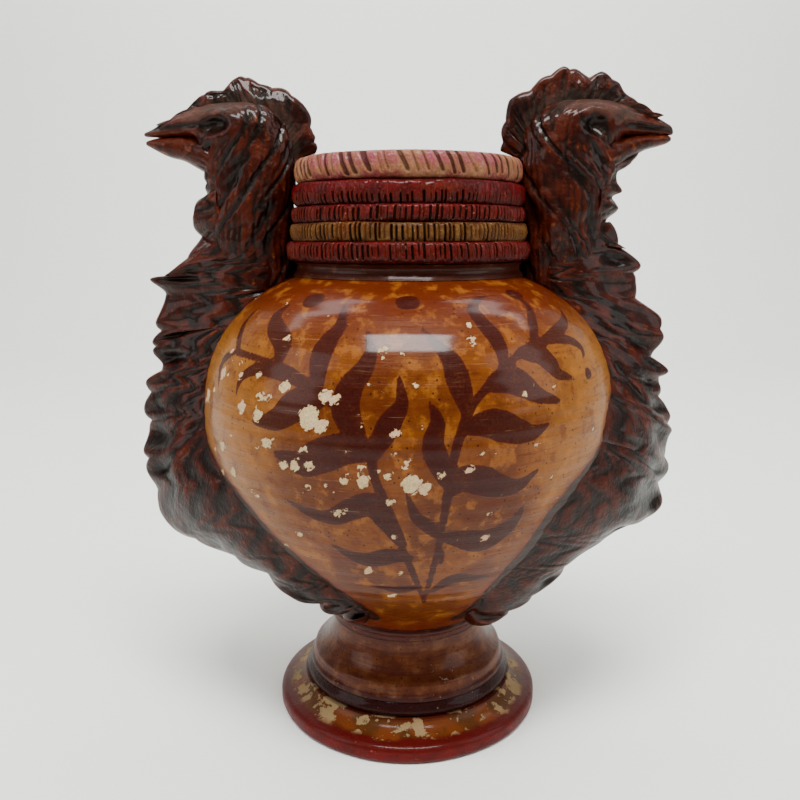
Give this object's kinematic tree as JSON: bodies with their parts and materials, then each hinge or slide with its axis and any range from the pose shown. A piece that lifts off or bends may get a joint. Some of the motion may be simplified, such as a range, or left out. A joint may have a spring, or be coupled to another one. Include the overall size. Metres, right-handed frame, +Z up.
{
  "type": "amphora",
  "caption": "Glazed ceramic amphora on a flared foot, with a coiled collar and bird-shaped handles whose pinched manes run down a painted belly.",
  "frame": {"origin": "on the vessel's axis, at the plane the foot stands on", "axes": "+Z up along the vessel's axis; +X through the right bird handle; -Y is the painted front"},
  "size_m": [0.2998, 0.223, 0.3527],
  "materials": {
    "ochre_glaze": "gloss",
    "crimson_glaze": "gloss",
    "gold_glaze": "gloss",
    "rose_glaze": "gloss",
    "plinth_glaze": "gloss",
    "tan_glaze": "gloss",
    "bird_glaze": "gloss"
  },
  "bodies": {
    "root": {"belly": "ochre_glaze", "foot_plinth": "plinth_glaze", "foot_step_ring": "crimson_glaze", "foot_stem": "tan_glaze", "stem_luting_band": "tan_glaze", "neck_wall": "tan_glaze", "shoulder_bead": "tan_glaze", "collar_coil_lower": "crimson_glaze", "collar_coil_gold": "gold_glaze", "collar_coil_second": "crimson_glaze", "collar_coil_upper": "crimson_glaze", "rim_coil": "rose_glaze", "left_bird_neck": "bird_glaze", "left_bird_head": "bird_glaze", "left_bird_lower_beak": "bird_glaze", "left_bird_crest": "bird_glaze", "left_bird_throat_frill": "bird_glaze", "left_bird_mane": "bird_glaze", "right_bird_neck": "bird_glaze", "right_bird_head": "bird_glaze", "right_bird_lower_beak": "bird_glaze", "right_bird_crest": "bird_glaze", "right_bird_throat_frill": "bird_glaze", "right_bird_mane": "bird_glaze"}
  },
  "joints": []
}
